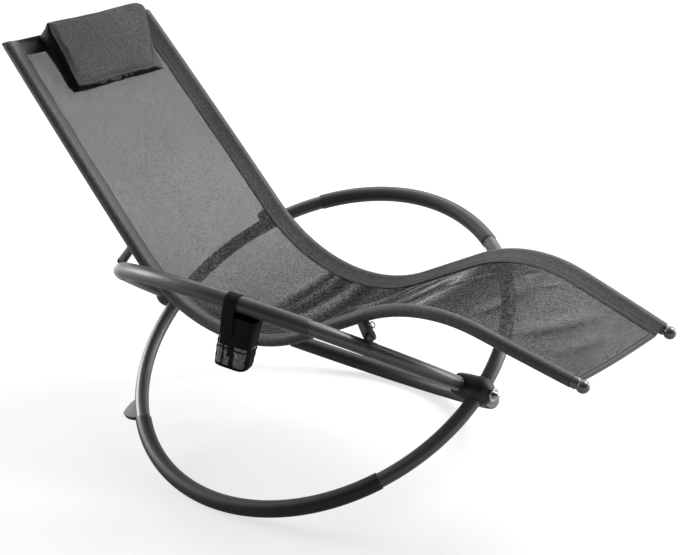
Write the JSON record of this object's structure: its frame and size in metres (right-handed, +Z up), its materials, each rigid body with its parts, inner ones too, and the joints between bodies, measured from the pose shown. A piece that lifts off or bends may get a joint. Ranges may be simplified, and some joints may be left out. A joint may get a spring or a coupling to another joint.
{
  "type": "rocking chaise lounge",
  "caption": "Folding rocking lounger: crossed steel hoops form armrests and rockers and carry a cloth seat on bent side rails, with a head pillow and a side pouch.",
  "frame": {"origin": "middle of the bounding box at floor level", "axes": "+X toward the foot end, +Y to the sitter's left, +Z up"},
  "size_m": [1.4874, 0.761, 0.8731],
  "materials": {
    "rail_paint": "satin black powder coat",
    "hoop_paint": "satin black powder coat",
    "grip_sleeve": "smooth dark grey sleeve",
    "hub_plastic": "fine textured",
    "foot_plastic": "matt grey",
    "cap_plastic": "matt",
    "zinc": "bright zinc",
    "mesh_cloth": "woven open mesh",
    "hem_cloth": "dense dark grey weave",
    "pillow_cloth": "soft grey mesh over padding",
    "pouch_cloth": "black with clear vinyl windows"
  },
  "bodies": {
    "spine": {"front_pivot_bolt": "zinc", "front_cap_nut": "zinc", "front_inner_washer": "zinc", "front_outer_washer": "zinc", "rear_pivot_bolt": "zinc", "rear_cap_nut": "zinc", "rear_inner_washer": "zinc", "rear_outer_washer": "zinc"},
    "right_hoop": {"right_arm_tube": "hoop_paint", "right_rocker_tube": "hoop_paint", "right_arm_sleeve": "grip_sleeve", "right_rocker_sleeve": "grip_sleeve", "right_front_hub": "hub_plastic", "right_rear_hub": "hub_plastic", "right_stop_foot": "foot_plastic", "right_front_lug": "hoop_paint", "right_front_rivet": "zinc", "right_rear_lug": "hoop_paint", "right_rear_rivet": "zinc"},
    "left_hoop": {"left_arm_tube": "hoop_paint", "left_rocker_tube": "hoop_paint", "left_arm_sleeve": "grip_sleeve", "left_rocker_sleeve": "grip_sleeve", "left_front_hub": "hub_plastic", "left_rear_hub": "hub_plastic", "left_stop_foot": "foot_plastic", "left_front_lug": "hoop_paint", "left_front_rivet": "zinc", "left_rear_lug": "hoop_paint", "left_rear_rivet": "zinc"},
    "right_rail": {"right_rail_tube": "rail_paint", "right_front_strut": "rail_paint", "right_rear_strut": "rail_paint", "right_foot_cap": "cap_plastic", "right_head_cap": "cap_plastic", "right_side_hem": "hem_cloth"},
    "left_rail": {"left_rail_tube": "rail_paint", "left_front_strut": "rail_paint", "left_rear_strut": "rail_paint", "left_foot_cap": "cap_plastic", "left_head_cap": "cap_plastic", "left_side_hem": "hem_cloth"},
    "sling": {"seat_panel": "mesh_cloth", "head_hem": "hem_cloth", "foot_hem": "hem_cloth"},
    "pillow": {"head_pillow": "pillow_cloth"},
    "right_pin": {"right_lock_pin": "zinc", "right_pin_ring": "zinc"},
    "left_pin": {"left_lock_pin": "zinc", "left_pin_ring": "zinc"},
    "pouch": {"pouch_body": "pouch_cloth", "pouch_strap": "pouch_cloth"}
  },
  "joints": [
    {"name": "right_hoop_fold", "type": "hinge", "parent": "spine", "child": "right_hoop", "pos_m": [-0.04282, 0.00851, 0.24212], "axis": [-1, 0, 0], "range_deg": [0, 28], "deforming": ["seat_panel", "head_hem", "foot_hem", "head_pillow"]},
    {"name": "left_hoop_fold", "type": "hinge", "parent": "spine", "child": "left_hoop", "pos_m": [-0.04282, 0.00851, 0.24212], "axis": [1, 0, 0], "range_deg": [0, 28]},
    {"name": "right_rail_swing", "type": "hinge", "parent": "right_hoop", "child": "right_rail", "pos_m": [0.28257, -0.19444, 0.39891], "axis": [1, 0, 0], "range_deg": [0, 28]},
    {"name": "left_rail_swing", "type": "hinge", "parent": "left_hoop", "child": "left_rail", "pos_m": [0.31987, 0.21146, 0.39891], "axis": [-1, 0, 0], "range_deg": [0, 28]},
    {"name": "sling_lift", "type": "slide", "parent": "spine", "child": "sling", "axis": [0, 0, 1], "range_m": [0, 0.07693]},
    {"name": "pillow_slide", "type": "slide", "parent": "sling", "child": "pillow", "axis": [0.6962, 0, -0.7179], "range_m": [0, 0.1]},
    {"name": "right_pin_pull", "type": "slide", "parent": "right_rail", "child": "right_pin", "axis": [1, 0, 0], "range_m": [0, 0.03]},
    {"name": "left_pin_pull", "type": "slide", "parent": "left_rail", "child": "left_pin", "axis": [1, 0, 0], "range_m": [0, 0.03]},
    {"name": "pouch_swing", "type": "hinge", "parent": "right_hoop", "child": "pouch", "pos_m": [0.0543, -0.33161, 0.45964], "axis": [0.9613, 0.2322, -0.1485], "range_deg": [-15, 34]}
  ],
  "couplings": [
    {"joint": "left_hoop_fold", "follows": "right_hoop_fold", "ratio": 1},
    {"joint": "right_rail_swing", "follows": "right_hoop_fold", "ratio": 1},
    {"joint": "left_rail_swing", "follows": "right_hoop_fold", "ratio": 1},
    {"joint": "sling_lift", "follows": "right_hoop_fold", "m_per_rad": 0.15741}
  ]
}
